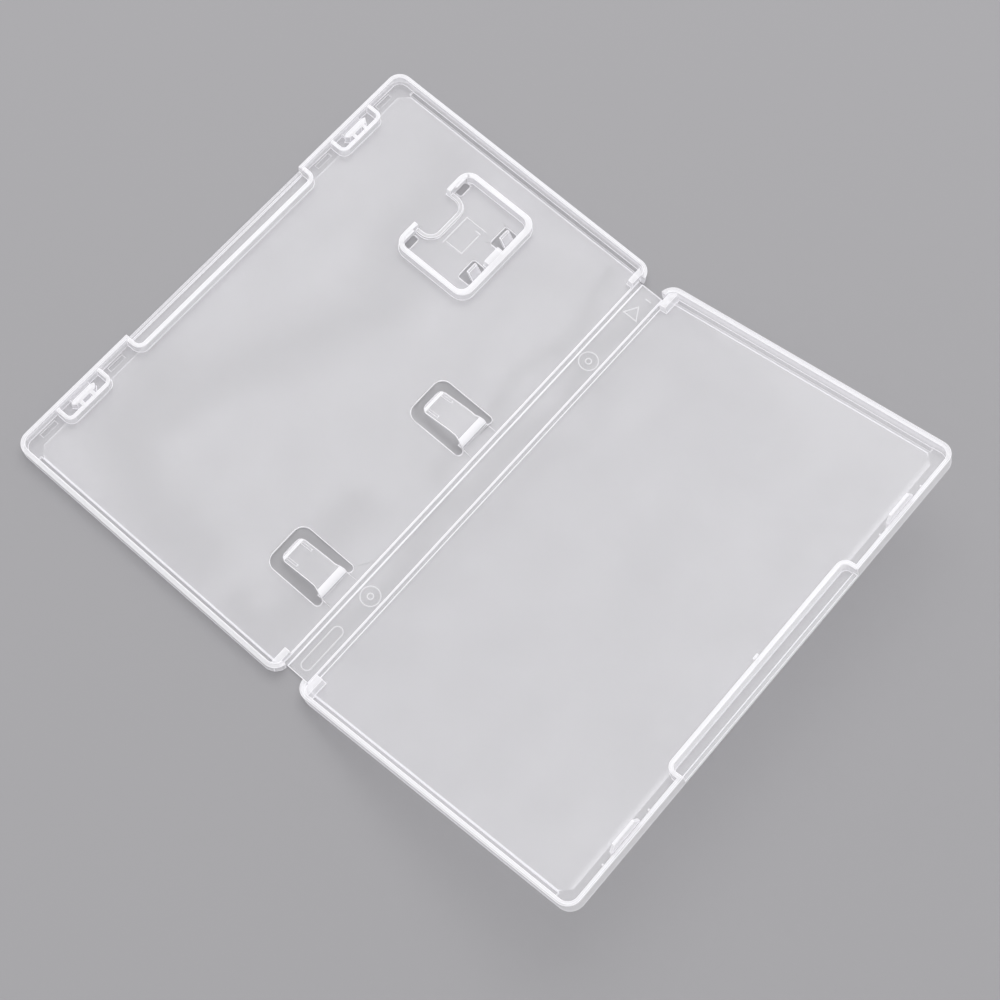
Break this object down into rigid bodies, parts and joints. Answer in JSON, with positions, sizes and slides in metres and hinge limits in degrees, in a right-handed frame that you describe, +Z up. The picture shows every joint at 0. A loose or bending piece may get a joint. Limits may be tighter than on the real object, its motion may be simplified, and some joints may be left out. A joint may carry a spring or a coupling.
{
  "type": "game card case",
  "caption": "Open hinged plastic case with a card holder and booklet clips in its tray, a folding spine and a lid that snaps shut.",
  "frame": {"origin": "middle of the open case's box, on the plane of the side rails that it rests on", "axes": "+X from the tray to the lid, across the spine; +Y along the spine; +Z up"},
  "size_m": [0.2134, 0.17, 0.0389],
  "materials": {
    "frosted_polypropylene": "natural translucent polypropylene, satin moulded",
    "clear_film": "clear glossy film"
  },
  "bodies": {
    "tray": {"tray_shell": "frosted_polypropylene", "tray_film": "clear_film"},
    "spine": {"spine_panel": "frosted_polypropylene", "spine_film": "clear_film"},
    "lid": {"lid_shell": "frosted_polypropylene", "lid_film": "clear_film"}
  },
  "joints": [
    {"name": "spine_hinge", "type": "hinge", "parent": "tray", "child": "spine", "pos_m": [-0.00227, 0, 0.00045], "axis": [0, -1, 0], "range_deg": [0, 90]},
    {"name": "lid_hinge", "type": "hinge", "parent": "spine", "child": "lid", "pos_m": [0.00733, 0, 0.00045], "axis": [0, -1, 0], "range_deg": [-18, 72]}
  ]
}
